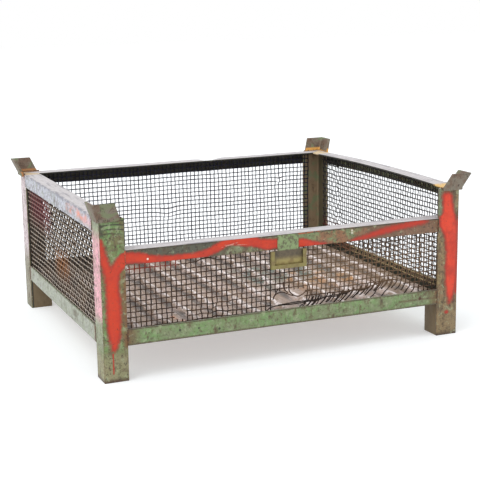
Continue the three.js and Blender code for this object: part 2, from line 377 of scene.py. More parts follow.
def facing(tree, axis, sign):
    """1 on faces that look along this way."""
    normal = add_node(tree, "NewGeometry").outputs["Normal"]
    part = add_node(tree, "SeparateXYZ", normal).outputs[axis]
    return add_node(tree, "MapRange", add_node(tree, "Math", part, sign, operation="MULTIPLY"), 0.6, 0.9,
                    interpolation_type="SMOOTHSTEP")


def spread_edge(tree, place):
    """The uneven edge of a hand sprayed line, a few millimetres either way."""
    return add_node(tree, "Math",
                    add_node(tree, "Math", add_node(tree, "TexNoise", place, 1 / 0.03, 5.0, 0.55), 0.5,
                             operation="SUBTRACT"), 7 * MM, operation="MULTIPLY")


def left_outside(low, high, soft=25 * MM):
    """The faces that look left off the container, between two heights."""
    def mask(tree, place):
        x, _, z = add_node(tree, "SeparateXYZ", place).outputs
        outer = add_node(tree, "MapRange", x, 5 * MM - WIDTH / 2, 2 * MM - WIDTH / 2,
                         interpolation_type="SMOOTHSTEP")
        outer = add_node(tree, "Math", outer, facing(tree, 0, -1), operation="MULTIPLY")
        return add_node(tree, "Math", outer, band(tree, z, low, high, soft), operation="MULTIPLY")
    return mask


def in_box(low, high, soft):
    """Everything inside a box, fading at its sides."""
    def mask(tree, place):
        result = 1.0
        for part, start, end in zip(add_node(tree, "SeparateXYZ", place).outputs, low, high):
            result = add_node(tree, "Math", result, band(tree, part, start, end, soft),
                              operation="MULTIPLY")
        return result
    return mask


def fork_mark(tree, place):
    """A sprayed Y: two arms from the post's edges run together and end in a drip. Sizes from the outer
    bottom corner of the post: height first, then distance across the face."""
    x, _, z = add_node(tree, "SeparateXYZ", place).outputs
    across = add_node(tree, "Math", x, WIDTH / 2, operation="ADD")
    across = add_node(tree, "Math", across, spread_edge(tree, place), operation="ADD")
    left_edge = curve_of(tree, z, [(0, .033), (.08, .032), (.1, .027), (.13, .020), (.16, .016),
                                   (.2, .014), (.28, .014), (.32, .012), (.345, .006), (.37, 0),
                                   (.5, 0)], 0.5, 0.1)
    right_edge = curve_of(tree, z, [(0, .034), (.08, .035), (.1, .040), (.13, .050), (.17, .056),
                                    (.22, .058), (.28, .054), (.31, .055), (.33, .062), (.345, .076),
                                    (.355, .09), (.5, .09)], 0.5, 0.1)
    stem = band(tree, across, left_edge, right_edge, SPRAY_FADE)
    notch_left = curve_of(tree, z, [(0, .05), (.335, .034), (.35, .029), (.37, .023), (.39, .017),
                                    (.41, .012), (.43, .006), (.45, -.004), (.5, -.01)], 0.5, 0.1)
    notch_right = curve_of(tree, z, [(0, .03), (.335, .032), (.35, .037), (.362, .043), (.374, .053),
                                     (.384, .066), (.392, .090), (.5, .099)], 0.5, 0.1)
    notch = band(tree, across, notch_left, notch_right, SPRAY_FADE)
    notch = fade(tree, notch, z, .334, .342)
    mark = add_node(tree, "Math", stem, add_node(tree, "Math", 1.0, notch, operation="SUBTRACT"),
                    operation="MULTIPLY")
    mark = fade(tree, mark, z, .078, .1)
    mark = fade(tree, mark, z, .440, .425)
    drip = band(tree, add_node(tree, "Math", x, WIDTH / 2, operation="ADD"), 0.0265, 0.0305, 2.5 * MM)
    drip = add_node(tree, "Math", drip, band(tree, z, 0.026, 0.090, 4 * MM), operation="MULTIPLY")
    mark = add_node(tree, "Math", mark, add_node(tree, "Math", drip, 0.8, operation="MULTIPLY"),
                    operation="MAXIMUM")
    return add_node(tree, "Math", mark, facing(tree, 1, -1), operation="MULTIPLY")


def stripe_mark(tree, place):
    """A long sprayed stripe down the right post, wide where the front rail meets it, with a spot below."""
    x, _, z = add_node(tree, "SeparateXYZ", place).outputs
    across = add_node(tree, "Math", x, WIDTH / 2 - POST_LEG, operation="SUBTRACT")
    across = add_node(tree, "Math", across, spread_edge(tree, place), operation="ADD")
    left_edge = curve_of(tree, z, [(0, .05), (.095, .043), (.12, .041), (.15, .034), (.2, .030),
                                   (.3, .029), (.33, .024), (.355, .013), (.37, .005), (.39, .003),
                                   (.402, .010), (.415, .017), (.44, .016), (.47, .012),
                                   (.5, .014)], 0.5, 0.1)
    right_edge = curve_of(tree, z, [(0, .045), (.095, .050), (.12, .056), (.14, .064), (.17, .069),
                                    (.2, .070), (.36, .070), (.39, .064), (.42, .055), (.45, .050),
                                    (.47, .046), (.5, .04)], 0.5, 0.1)
    mark = band(tree, across, left_edge, right_edge, SPRAY_FADE)
    mark = add_node(tree, "Math", mark, band(tree, z, 0.100, 0.474, SPRAY_FADE), operation="MULTIPLY")
    thin = fade(tree, band(tree, z, 0.13, 0.39, 15 * MM), across, .062, .068)
    mark = add_node(tree, "Math", mark, add_node(tree, "Math", thin, 0.62, operation="MULTIPLY"),
                    operation="MAXIMUM")
    spot_x = add_node(tree, "Math", add_node(tree, "Math", across, 0.037, operation="SUBTRACT"), 9 * MM,
                      operation="DIVIDE")
    spot_z = add_node(tree, "Math", add_node(tree, "Math", z, 0.077, operation="SUBTRACT"), 7 * MM,
                      operation="DIVIDE")
    reach = add_node(tree, "Math", add_node(tree, "Math", spot_x, spot_x, operation="MULTIPLY"),
                     add_node(tree, "Math", spot_z, spot_z, operation="MULTIPLY"), operation="ADD")
    mark = add_node(tree, "Math", mark,
                    add_node(tree, "MapRange", reach, 1.5, 0.1, 0.0, 0.6, interpolation_type="SMOOTHSTEP"),
                    operation="MAXIMUM")
    return add_node(tree, "Math", mark, facing(tree, 1, -1), operation="MULTIPLY")


def painted_fold_shade(tree, place):
    """Dark arches and a corner patch painted on the front left post's top: painted shade of dent folds not
    in its shape.
    """
    x, _, z = add_node(tree, "SeparateXYZ", place).outputs
    side = add_node(tree, "Math", add_node(tree, "Math", x, WIDTH / 2 - 0.032, operation="ADD"), 0.45,
                    operation="MULTIPLY")
    rise = add_node(tree, "Math", z, 0.415, operation="SUBTRACT")
    radius = add_node(tree, "Math",
                      add_node(tree, "Math", add_node(tree, "Math", side, side, operation="MULTIPLY"),
                               add_node(tree, "Math", rise, rise, operation="MULTIPLY"), operation="ADD"),
                      operation="SQRT")
    radius = add_node(tree, "Math", radius, spread_edge(tree, place), operation="ADD")
    wave = add_node(tree, "Math",
                    add_node(tree, "Math", radius, 2 * math.pi / 0.013, operation="MULTIPLY"),
                    operation="SINE")
    zone = band(tree, z, 0.440, 0.486, 6 * MM)
    lines = fade(tree, zone, wave, 0.2, 0.9)
    corner = fade(tree, band(tree, z, 0.436, 0.474, 5 * MM), x, 0.018 - WIDTH / 2, 0.008 - WIDTH / 2)
    lines = add_node(tree, "Math", lines, corner, operation="MAXIMUM")
    return add_node(tree, "Math", lines, facing(tree, 1, -1), operation="MULTIPLY")


def speck(x, z, radius):
    """A small round mark on the front, x from the left end and z from the ground."""
    def mask(tree, place):
        across, _, up = add_node(tree, "SeparateXYZ", place).outputs
        across = add_node(tree, "Math", across, x - WIDTH / 2, operation="SUBTRACT")
        up = add_node(tree, "Math", up, z, operation="SUBTRACT")
        reach = add_node(tree, "Math",
                         add_node(tree, "Math",
                                  add_node(tree, "Math", across, across, operation="MULTIPLY"),
                                  add_node(tree, "Math", up, up, operation="MULTIPLY"), operation="ADD"),
                         operation="SQRT")
        return fade(tree, facing(tree, 1, -1), reach, radius, 0.5 * radius)
    return mask


def patchy(mask, size, low=0.42, high=0.56):
    """The same mask, broken into patches of this size."""
    def broken(tree, place):
        patches = add_node(tree, "MapRange", add_node(tree, "TexNoise", place, 1 / size, 4.0, 0.65), low,
                           high, interpolation_type="SMOOTHSTEP")
        return add_node(tree, "Math", mask(tree, place), patches, operation="MULTIPLY")
    return broken


def scratch(start, end, width):
    """A straight scrape on the front between two points, x from the left end and z from the ground."""
    def mask(tree, place):
        x, _, z = add_node(tree, "SeparateXYZ", place).outputs
        run_x, run_z = end[0] - start[0], end[1] - start[1]
        length = math.hypot(run_x, run_z)
        across = add_node(tree, "Math", x, start[0] - WIDTH / 2, operation="SUBTRACT")
        up = add_node(tree, "Math", z, start[1], operation="SUBTRACT")
        along = add_node(tree, "Math",
                         add_node(tree, "Math", across, run_x / length, operation="MULTIPLY"),
                         add_node(tree, "Math", up, run_z / length, operation="MULTIPLY"), operation="ADD")
        aside = add_node(tree, "Math",
                         add_node(tree, "Math", across, run_z / length, operation="MULTIPLY"),
                         add_node(tree, "Math", up, run_x / length, operation="MULTIPLY"),
                         operation="SUBTRACT")
        line = add_node(tree, "MapRange", add_node(tree, "Math", aside, operation="ABSOLUTE"), width,
                        0.4 * width, interpolation_type="SMOOTHSTEP")
        line = add_node(tree, "Math", line, band(tree, along, 0.0, length, 5 * MM), operation="MULTIPLY")
        broken = add_node(tree, "MapRange", add_node(tree, "TexNoise", place, 1 / 0.012, 3.0, 0.7), 0.40,
                          0.52, interpolation_type="SMOOTHSTEP")
        line = add_node(tree, "Math", line, broken, operation="MULTIPLY")
        return add_node(tree, "Math", line, facing(tree, 1, -1), operation="MULTIPLY")
    return mask


post_edge = in_box((POST_LEG - 12 * MM - WIDTH / 2, -1, 0.10), (-WIDTH / 2 + 0.2, 1, 0.33), 8 * MM)
foot_rim = in_box((-1, -1, -1), (1, 1, 0.010), 6 * MM)
HEAT_ORANGE, HEAT_YELLOW, HEAT_BROWN = "#AE7A4C", "#DCA352", "#6B4A2E"
INNER_OLIVE, INNER_GREEN = "#9A8468", "#7F8A66"
post_enamel = {
    "front_left": enamel(
        "weathered_enamel_post_front_left", (GREEN, OLIVE), 0.42, fork_mark,
        # Painted highlight: the left face is painted pale grey-green, and pale pink higher up, for the
        # strong light from the left
        [(left_outside(0.10, 0.60), "#8F967C"), (left_outside(0.19, 0.437), "#E6A6B2"),
         (in_box((-1, -1, -1), (1, 1, 0.085), 20 * MM), "#8A8462"), (post_edge, "#77532F"),
         (foot_rim, "#4A3322"), (painted_fold_shade, "#3A3B29")], seed=0.3),
    "front_right": enamel(
        "weathered_enamel_post_front_right", ("#8A7850", "#82684A"), 0.55, stripe_mark,
        [(in_box((-1, -1, 0.40), (WIDTH / 2 - 62 * MM, 1, 1), 8 * MM), "#6E7B60"),
         (in_box((-1, -1, -1), (1, 1, 0.085), 12 * MM), "#85714F"), (foot_rim, "#3E2C1F")],
        spray_tone=SPRAY_ORANGE, inner_shade_tone=INNER_SHADE_BROWN, seed=1.7),
    "back_right": enamel("weathered_enamel_post_back_right", (GREEN_GREY, OLIVE), 0.62,
                         over=[(patchy(in_box((-1, -1, -1), (WIDTH / 2 - 4 * MM, DEPTH / 2 - 4 * MM, 0.46),
                                              6 * MM), 0.045, 0.46, 0.62), INNER_GREEN),
                               # Painted shade: the inner face of the right leg, which looks left into the
                               # container, is darkened
                               (in_box((WIDTH / 2 - 9 * MM, DEPTH / 2 - POST_LEG + 2 * MM, -1),
                                       (WIDTH / 2 - 5 * MM, DEPTH / 2 - 10 * MM, 0.47), 2 * MM),
                                 "#4C4736")],
                         inner_shade_tone=INNER_OLIVE, inner_mix=0.9, seed=2.9),
    "back_left": enamel(
        "weathered_enamel_post_back_left", (GREEN_GREY, OLIVE), 0.65, None,
        # Painted highlight: the left face is painted pale, palest from 0.2 m up, for the light from the
        # left
        [(left_outside(0.02, 0.24, 40 * MM), "#8B8470"), (left_outside(0.20, 0.60, 40 * MM), "#D3C2C7")],
        [(in_box((4 * MM - WIDTH / 2, -1, POST_TOP - 4 * MM), (1, 1, 1), 3 * MM), HEAT_ORANGE)], seed=4.1),
}
for index, corner in enumerate(CORNERS):
    post = plate_copy(f"post_{corner}", f"rolled_post_{corner}")
    round_edges(post, ROOT_RADIUS, TOE_RADIUS)
    cut_along(post, 2, CUT_SPACING)
    waver(post, POST_WAVER, POST_WAVE, index + 1.3)
    stay_inside(post)
    post.data.materials.append(post_enamel[corner])
    finish_piece(post, "green_paint", f"post_{corner}")

# ---------------------------------------------------------------------------------------------------
# Box feet: a short angle welded into each post makes it a square tube, and a sole plate closes it.
# They are flame cut from the same rolled steel and stay out of sight; their paint is dark and dull, and
# their inner faces are painted in shade.
# ---------------------------------------------------------------------------------------------------
SOLE_EDGE = 1 * MM
# The inner faces take a painted shade tone mixed with grime
foot_enamel = enamel("weathered_enamel_feet", ("#6A5C42", "#5A4933"), 0.7, inner_shade_tone="#6E5D42", seed=6.3)
for index, corner in enumerate(CORNERS):
    foot = plate_copy(f"foot_angle_{corner}", f"foot_box_{corner}")
    round_edges(foot, 0, TOE_RADIUS)
    foot.data.materials.append(foot_enamel)
    finish_piece(foot, "green_paint", f"foot_angle_{corner}")
    sole = plate_copy(f"foot_sole_{corner}", f"sole_plate_{corner}")
    round_edges(sole, 0, SOLE_EDGE)
    sole.data.materials.append(foot_enamel)
    finish_piece(sole, "worn_steel", f"foot_sole_{corner}")

# ---------------------------------------------------------------------------------------------------
# Rails: rolled angles cut to length and welded between the posts, the front one lower than the rest.
# The top rails are knocked by every load: the right one is bowed up, and two others have a dent.
# ---------------------------------------------------------------------------------------------------
SIDES = ("front", "right", "back", "left")
RAIL_ROOT, RAIL_TOE = 5 * MM, 1.3 * MM
RAIL_WAVER, RAIL_WAVE = 1.2 * MM, 300 * MM
RAIL_BOW = Vector((3 * MM, 0, 8 * MM))       # how far the middle of the right rail has been pushed
BOW_TURN, BOW_MIDDLE = 3.1, -0.06            # half a wave along the rail, and where its middle is
RAIL_DENTS = {                               # centre, radius and push
    "back": ((0.125, DEPTH / 2, POST_TOP), 50 * MM, (0, -2 * MM, -9 * MM)),
    "left": ((-WIDTH / 2, -DEPTH / 2 + 60 * MM, POST_TOP), 80 * MM, (0, 0, -7 * MM))}


def front_band_mark(tree, place):
    """The sprayed line along the front rail, in three runs broken by the card holder."""
    x, _, z = add_node(tree, "SeparateXYZ", place).outputs
    along = add_node(tree, "Math", x, WIDTH / 2, operation="ADD")
    height = add_node(tree, "Math", z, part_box("top_rail_front")[0].z, operation="SUBTRACT")
    height = add_node(tree, "Math", height, spread_edge(tree, place), operation="ADD")
    low = curve_of(tree, along, [(0, .005), (.08, .005), (.12, .004), (.14, .0), (.3, -.002), (.34, .005),
                                 (.38, .020), (.4, .029), (.44, .022), (.48, .017), (.5, .010),
                                 (.53, .002), (.56, .004), (.6, 0), (.62, -.003), (.72, -.003), (.84, 0),
                                 (.88, .005), (.92, .011), (.96, .017), (1.02, .024), (1.08, .031),
                                 (1.12, .04), (1.2, .04)], 1.2, 0.1)
    high = curve_of(tree, along, [(0, .038), (.08, .037), (.12, .034), (.14, .027), (.16, .021),
                                  (.24, .016), (.28, .017), (.32, .023), (.36, .037), (.39, .047),
                                  (.46, .05), (.5, .038), (.54, .033), (.58, .03), (.64, .025),
                                  (.68, .013), (.72, .006), (.78, .003), (.82, .010), (.86, .018),
                                  (.9, .029), (.94, .037), (1.0, .042), (1.05, .047),
                                  (1.2, .05)], 1.2, 0.1)
    mark = band(tree, height, low, high, 0.7 * SPRAY_FADE)
    gap = band(tree, along, 0.570, 0.627, 6 * MM)
    pause = band(tree, along, 0.730, 0.800, 20 * MM)
    mark = add_node(tree, "Math", mark, add_node(tree, "Math", 1.0, gap, operation="SUBTRACT"),
                    operation="MULTIPLY")
    mark = add_node(tree, "Math", mark, add_node(tree, "Math", 1.0, pause, operation="SUBTRACT"),
                    operation="MULTIPLY")
    mark = fade(tree, mark, along, 1.11, 1.06)
    mark = fade(tree, mark, along, 0.60, 0.92, 1.0, 0.75)
    return add_node(tree, "Math", mark, facing(tree, 1, -1), operation="MULTIPLY")


def left_rail_mark(tree, place):
    """Short touches of red spray on the outer face of the left rail, near its front end."""
    _, y, z = add_node(tree, "SeparateXYZ", place).outputs
    along = add_node(tree, "Math", y, DEPTH / 2, operation="ADD")
    patches = add_node(tree, "MapRange",
                       add_node(tree, "TexNoise", add_node(tree, "Mapping", place, Scale=(1, 0.5, 1)),
                                1 / 0.03, 3.0, 0.6), 0.40, 0.66, interpolation_type="SMOOTHSTEP")
    mark = add_node(tree, "Math", patches, band(tree, along, 0.13, 0.36, 25 * MM), operation="MULTIPLY")
    mark = add_node(tree, "Math", mark, band(tree, z, POST_TOP - 32 * MM, POST_TOP - 6 * MM, 9 * MM),
                    operation="MULTIPLY")
    return add_node(tree, "Math", mark,
                    add_node(tree, "Math", facing(tree, 0, -1), 0.85, operation="MULTIPLY"),
                    operation="MULTIPLY")


def near_ends(run, half_length, reach):
    """The last stretch of a rail at both ends, browned by the heat of the weld."""
    def mask(tree, place):
        along = add_node(tree, "SeparateXYZ", place).outputs[run]
        return add_node(tree, "MapRange", add_node(tree, "Math", along, operation="ABSOLUTE"),
                        half_length - reach, half_length, interpolation_type="SMOOTHSTEP")
    return mask


def edge_line(top, depth):
    """The dark line where the paint has gone along the top edge of a rail's face."""
    return in_box((-1, -1, top - depth), (1, 1, top - 0.8 * MM), 1.2 * MM)


END_X, END_Y = WIDTH / 2 - POST_LEG, DEPTH / 2 - POST_LEG
FRONT_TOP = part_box("top_rail_front")[1].z
LOW_TOP, LOW_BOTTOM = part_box("bottom_rail_front")[1].z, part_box("bottom_rail_front")[0].z
rail_enamel = {
    "front": enamel(
        "weathered_enamel_front_rail", (GREEN_GREY, OLIVE), 0.60, front_band_mark,
        [(in_box((-1, -1, -1), (-0.22, 1, 1), 60 * MM), "#4F5042"),
         (in_box((0.02, -1, -1), (0.24, 1, 1), 40 * MM), "#75855A"),
         (patchy(in_box((0.09, -1, -1), (0.28, 1, 1), 20 * MM), 0.03, 0.36, 0.50), "#8A5F42"),
         (in_box((0.26, -1, -1), (0.60, 1, 1), 60 * MM), "#7C5A44"),
         (near_ends(0, END_X, 0.03), HEAT_BROWN), (edge_line(FRONT_TOP, 5 * MM), "#3B3A2F")],
        [(speck(0.143, 0.360, 4 * MM), "#E8D8C8"), (speck(0.811, 0.382, 4 * MM), "#C9C4B4"),
         (speck(0.811, 0.374, 4 * MM), "#C9C4B4"),
         (scratch((0.385, 0.377), (0.455, 0.372), 1.7 * MM), "#C07868"),
         (scratch((0.375, 0.371), (0.425, 0.381), 1.4 * MM), "#C9897A"),
         (scratch((0.62, 0.388), (0.70, 0.391), 3 * MM), "#9A5230")], run=0, seed=7.7),
    "left": enamel(
        "weathered_enamel_left_rail", (GREEN_GREY, OLIVE), 0.3, None,
        # Painted highlight: the outer left face is painted pale blue-grey, and pale pink near the front
        # end, for the light from the left
        [(left_outside(0.2, 0.6), "#B8BAC6"), (near_ends(1, DEPTH / 2, 0.05), "#857F72"),
         (in_box((-1, -DEPTH / 2, POST_TOP - 40 * MM), (3 * MM - WIDTH / 2, -0.33, POST_TOP - 16 * MM),
                 12 * MM), "#E2A9AE")],
        [(left_rail_mark, "#E08468"),
         (patchy(in_box((-1, -1, POST_TOP - 6 * MM), (5 * MM - WIDTH / 2, 0.42, 1), 3 * MM), 0.035),
          "#85858F"),
         (in_box((-1, DEPTH / 2 - 80 * MM, POST_TOP - 3 * MM), (-WIDTH / 2 + 0.08, 1, 1), 10 * MM),
          "#C9AE7C")], run=1, seed=8.8),
    "back": enamel("weathered_enamel_back_rail", (GREEN_GREY, OLIVE), 0.5, inner_mix=0.2, run=0, seed=9.9),
    "right": enamel("weathered_enamel_right_rail", (GREEN_GREY, OLIVE), 0.5, None, (),
                    [(patchy(in_box((0.5, -0.6, 0.475), (1, -0.435, 0.6), 12 * MM), 0.03, 0.36, 0.48),
                      "#DDB670"),
                     (in_box((0.5, 0.40, 0.475), (1, 0.60, 0.6), 15 * MM), "#D8C3A0")],
                    inner_mix=0.3, run=1, seed=10.1),
}
lower_enamel = {
    "front": enamel(
        "weathered_enamel_front_bottom_rail", ("#6F8D57", "#76805C"), 0.34, None,
        [(near_ends(0, END_X, 0.05), HEAT_BROWN), (edge_line(LOW_TOP, 4 * MM), "#4A4534"),
         (in_box((-1, -1, -1), (1, 1, LOW_BOTTOM + 5 * MM), 3 * MM), "#57503A"),
         (in_box((0.38, -1, LOW_BOTTOM + 22 * MM), (0.56, 1, LOW_BOTTOM + 26 * MM), 4 * MM), "#5C3F28")],
        [(speck(0.236, 0.134, 5 * MM), "#3A3D2A"), (speck(0.296, 0.133, 4 * MM), "#3A3D2A"),
         (speck(0.362, 0.123, 5 * MM), "#3A3D2A"), (speck(1.060, 0.134, 7 * MM), "#4A2E1F")],
        speckle=0.35, rubbed_and_lit=0.25, run=0, seed=12.5),
    "left": enamel("weathered_enamel_left_bottom_rail", ("#6F8D57", "#76805C"), 0.34, None,
                   # Painted highlight: the outer left face is painted pale grey-green for the light from
                   # the left
                   [(left_outside(0.05, 0.3), "#A0A497"), (near_ends(1, END_Y, 0.03), HEAT_BROWN),
                    (in_box((-1, -0.21, 0.126), (-0.55, -0.17, 0.148), 8 * MM), "#5F5643")],
                   speckle=0.35, rubbed_and_lit=0.25, run=1, seed=13.1),
}
lower_enamel["back"] = lower_enamel["front"]
lower_enamel["right"] = lower_enamel["left"]
for index, side in enumerate(SIDES):
    run = 0 if side in ("front", "back") else 1
    for level, material in (("top", rail_enamel[side]), ("bottom", lower_enamel[side])):
        rail = plate_copy(f"{level}_rail_{side}", f"rolled_{level}_rail_{side}")
        round_edges(rail, RAIL_ROOT, RAIL_TOE)
        cut_along(rail, run, CUT_SPACING)
        waver(rail, RAIL_WAVER, RAIL_WAVE, index + (5.1 if level == "top" else 8.4))
        if level == "top" and side == "right":
            for vertex in rail.data.vertices:
                vertex.co += RAIL_BOW * max(0, math.cos(BOW_TURN * (vertex.co.y - BOW_MIDDLE)))
        if level == "top" and side in RAIL_DENTS:
            dent(rail, *RAIL_DENTS[side])
        stay_inside(rail)
        rail.data.materials.append(material)
        finish_piece(rail, "green_paint", f"{level}_rail_{side}")

# ---------------------------------------------------------------------------------------------------
# Stacking ears: short angles lapped on the post tops and leaning out, so that they lead the foot of the
# next container onto the post. Their paint is long gone, and a bead of weld holds each at its foot.
# ---------------------------------------------------------------------------------------------------
EAR_GREY = "#7F7668"
EAR_BROWN = "#6A5545"
EAR_GREEN = "#727E5A"
EAR_ROOT, EAR_TOE = 6 * MM, 1.5 * MM
EAR_REACH = 68 * MM          # length of the weld on each side of the corner
EAR_BEAD, BEAD_HEIGHT = 3 * MM, 1 * MM
RIPPLE = 1.6 * MM            # distance between the ripples of a bead
DULL_WELD, BROWN_WELD = "#7A6248", "#8F6C48"


def worn_ear_steel():
    """Hot rolled steel that has lost its paint: brown-grey scale with green remains and dark creases, half
    matt, and turned yellow or orange at the foot by the heat of the weld."""
    material, tree, shader, place = start_material("worn_steel_ears")
    patches = add_node(tree, "TexNoise", place, 1 / 0.035, 6.0, 0.65)
    colour = coat(tree, EAR_BROWN, EAR_GREY, patches, 0.38, 0.6)
    rests = add_node(tree, "MapRange",
                     add_node(tree, "TexNoise", place, 1 / 0.05, 5.0, 0.6, Distortion=0.6), 0.52, 0.62,
                     0.0, 0.7, interpolation_type="SMOOTHSTEP")
    colour = add_node(tree, "Mix", rests, colour, EAR_GREEN, data_type="RGBA")
    grit = add_node(tree, "TexNoise", place, 1 / 0.006, 4.0, 0.7)
    colour = coat(tree, colour, RUST_DARK, grit, 0.62, 0.72)
    folds = add_node(tree, "TexNoise", add_node(tree, "Mapping", place, Scale=(1, 1, 0.5)), 1 / 0.03, 3.0,
                     0.5, Distortion=1.5)
    crease = add_node(tree, "Math", add_node(tree, "Math", folds, 0.5, operation="SUBTRACT"),
                      operation="ABSOLUTE")
    colour = coat(tree, colour, RUST_DARK, crease, 0.018, 0.0, 0.75)
    not_left = add_node(tree, "Math", 1.0, facing(tree, 0, -1), operation="SUBTRACT")
    heated = ((0.4, POST_TOP + 12 * MM, HEAT_YELLOW), (-1.0, POST_TOP + 10 * MM, HEAT_ORANGE))
    for start, height, heat in heated:
        base = in_box((start, 0.3, 0.4), (start + 0.6, 1, height), 3 * MM)(tree, place)
        colour = add_node(tree, "Mix", add_node(tree, "Math", base, not_left, operation="MULTIPLY"),
                          colour, heat, data_type="RGBA")
    feed(tree, shader.inputs["Base Color"], colour)
    roughness = add_node(tree, "MapRange", patches, 0.3, 0.7, 0.5, 0.75, interpolation_type="SMOOTHSTEP")
    feed(tree, shader.inputs["Roughness"], roughness)
    shader.inputs["Metallic"].default_value = 0.25
    feed(tree, shader.inputs["Normal"],
         add_node(tree, "Bump", Height=grit, Strength=0.5, Distance=0.5 * MM))
    return material


def weld_bead(name, points, radius, colour):
    """A bead of weld metal along a line of points, rippled as it was laid."""
    bead = bpy.data.curves.new(name, "CURVE")
    bead.dimensions = "3D"
    bead.bevel_depth = radius
    bead.bevel_resolution = 2
    bead.use_fill_caps = True
    spline = bead.splines.new("POLY")
    stations = []
    for start, end in zip(points, points[1:]):
        start, end = Vector(start), Vector(end)
        count = max(2, int((end - start).length / RIPPLE))
        stations += [start.lerp(end, step / count) for step in range(count)]
    stations.append(Vector(points[-1]))
    spline.points.add(len(stations) - 1)
    for index, (station, place) in enumerate(zip(spline.points, stations)):
        station.co = (*place, 1)
        station.radius = 0.9 + 0.22 * math.sin(index * 1.7) + 0.2 * noise.noise(place * 120)
    piece = bpy.data.objects.new(name, bead)
    bpy.context.scene.collection.objects.link(piece)
    take_up(piece)
    bpy.ops.object.convert(target="MESH")
    piece.data.materials.clear()
    piece.data.materials.append(weld_metal(colour))
    return piece


def weld_metal(colour):
    """Steel that has cooled from the melt: dull, brown with oxide, with a coarse grain of dark slag."""
    name = "weld_metal_" + colour[1:].lower()
    if name in bpy.data.materials:
        return bpy.data.materials[name]
    material, tree, shader, place = start_material(name)
    grain = add_node(tree, "TexNoise", place, 1 / 0.007, 4.0, 0.7)
    feed(tree, shader.inputs["Base Color"], coat(tree, colour, RUST_DARK, grain, 0.4, 0.62))
    shader.inputs["Roughness"].default_value = 0.6
    feed(tree, shader.inputs["Normal"],
         add_node(tree, "Bump", Height=grain, Strength=0.5, Distance=0.5 * MM))
    return material


ear_steel = worn_ear_steel()
for corner in CORNERS:
    ear = plate_copy(f"stacking_ear_{corner}", f"leaning_ear_{corner}")
    round_edges(ear, EAR_ROOT, EAR_TOE)
    low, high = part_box(f"post_{corner}")
    side_x, side_y = (1 if low.x > 0 else -1), (1 if low.y > 0 else -1)
    corner_x, corner_y = side_x * WIDTH / 2, side_y * DEPTH / 2
    level = POST_TOP + BEAD_HEIGHT
    line = [(corner_x - side_x * EAR_REACH, corner_y, level), (corner_x, corner_y, level),
            (corner_x, corner_y - side_y * EAR_REACH, level)]
    heat = DULL_WELD if side_y < 0 else HEAT_YELLOW if side_x > 0 else BROWN_WELD
    bead = weld_bead(f"ear_weld_{corner}", line, EAR_BEAD, heat)
    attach(bead, "root")
    ear.data.materials.append(ear_steel)
    finish_piece(ear, "worn_steel", f"stacking_ear_{corner}")

# ---------------------------------------------------------------------------------------------------
# Rail welds: each rail is welded to the posts down the outside of the joint. The beads are flat and brown,
# and the one beside the sprayed mark is red.
# ---------------------------------------------------------------------------------------------------
RAIL_BEAD = 1.8 * MM
SPRAYED_WELD = "#C2583C"
for side in SIDES:
    for level in ("top", "bottom"):
        low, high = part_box(f"{level}_rail_{side}")
        for end in (-1, 1):
            if side in ("front", "back"):
                x, y = end * (WIDTH / 2 - POST_LEG), (low.y if side == "front" else high.y)
            else:
                x, y = (low.x if side == "left" else high.x), end * (DEPTH / 2 - POST_LEG)
            line = [(x, y, low.z + 3 * MM), (x, y, high.z - 2 * MM)]
            sprayed = level == "top" and side == "front" and end < 0
            bead = weld_bead(f"{level}_rail_weld_{side}_{end + 1}", line, RAIL_BEAD,
                             SPRAYED_WELD if sprayed else HEAT_BROWN)
            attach(bead, "root")

# ---------------------------------------------------------------------------------------------------
# Corrugated floor: one trapezoidal sheet, folded with small radii, lying on the bottom rails.
# Its grey coating is scraped through to brown steel, mostly along the crests.
# ---------------------------------------------------------------------------------------------------
FLOOR_GREY, FLOOR_BROWN = "#B8A59C", "#A08874"
# The painted shade at the foot of each rib, and the pale of the painted highlight and of the scrapes
FLOOR_SHADOW, FLOOR_PALE = "#605B59", "#F6ECEA"
FLOOR_STAINS = [     # low corner, high corner, softness, patch size and colour
    ((0.45, -1, -1), (1, 1, 1), 20 * MM, 0.08, "#8A7359"),
    ((0.20, -0.20, -1), (0.46, 0.02, 1), 60 * MM, 0.05, "#C08A50"),
    ((0.05, -0.10, -1), (0.40, 0.20, 1), 80 * MM, 0.045, "#66756C"),
    ((-0.335, -0.385, -1), (-0.290, -0.335, 1), 8 * MM, 0.02, "#E3966C"),
    ((-0.27, -0.47, -1), (-0.14, -0.42, 1), 15 * MM, 0.02, "#C99D84")]
FLAKED_BROWN, FLAKED_ORANGE = "#5A4434", "#B0743F"
RIB_PITCH, RIB_CREST, RIB_SLOPE = 98 * MM, 36 * MM, 12 * MM
FOLD_RADIUS = 3 * MM
FLOOR_CUT = 50 * MM
FLOOR_WAVER, FLOOR_WAVE = 1.4 * MM, 220 * MM


